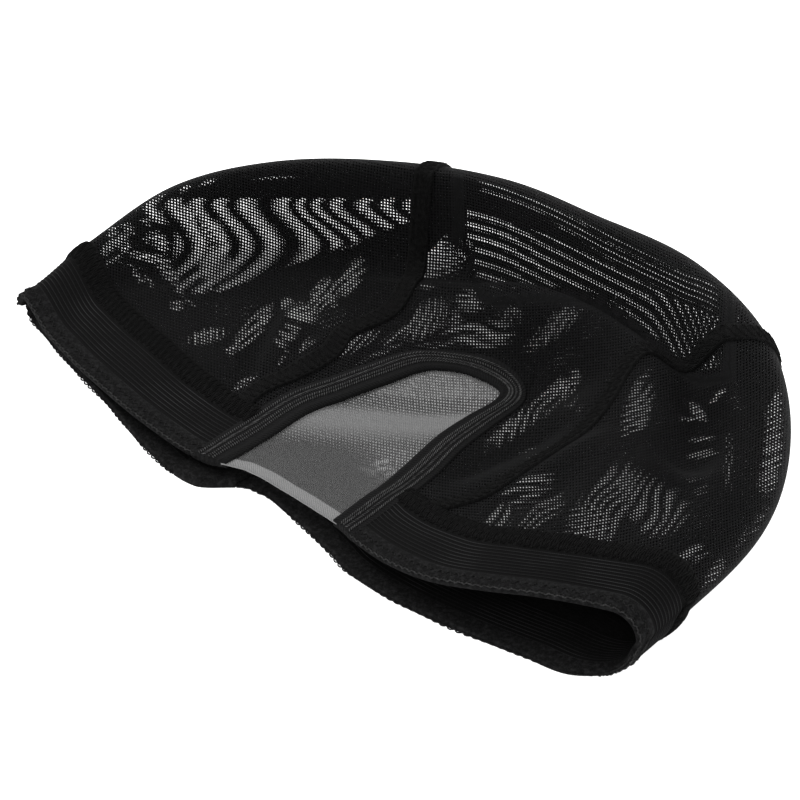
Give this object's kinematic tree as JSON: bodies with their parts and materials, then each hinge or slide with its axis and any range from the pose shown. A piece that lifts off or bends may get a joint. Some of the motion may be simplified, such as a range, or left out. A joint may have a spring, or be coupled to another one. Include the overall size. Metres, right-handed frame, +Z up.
{
  "type": "u-part wig cap",
  "caption": "Stretch mesh wig cap with a U-shaped lace opening at the front, ribbed elastic bands, and a crown puffed up as it lies.",
  "frame": {"origin": "middle of the part's box on the plane the cap lies on", "axes": "+X across the cap towards its open right tip, +Y from the head opening towards the crown fold, +Z up from the surface it lies on"},
  "size_m": [0.2502, 0.1508, 0.0383],
  "materials": {
    "mesh": "matt open stretch mesh",
    "band": "matt ribbed elastic with a plush edge",
    "thread": "matt overlock and cover stitches",
    "tape": "matt woven twill tape",
    "lace": "matt sheer net"
  },
  "bodies": {
    "root": {"crown_centre": "mesh", "crown_left": "mesh", "crown_right": "mesh", "seam_left": "thread", "seam_right": "thread", "band_left": "band", "band_right": "band", "band_seam_left": "thread", "band_seam_right": "thread", "nape_join": "band", "u_binding": "tape", "lace_panel": "lace"}
  },
  "joints": []
}
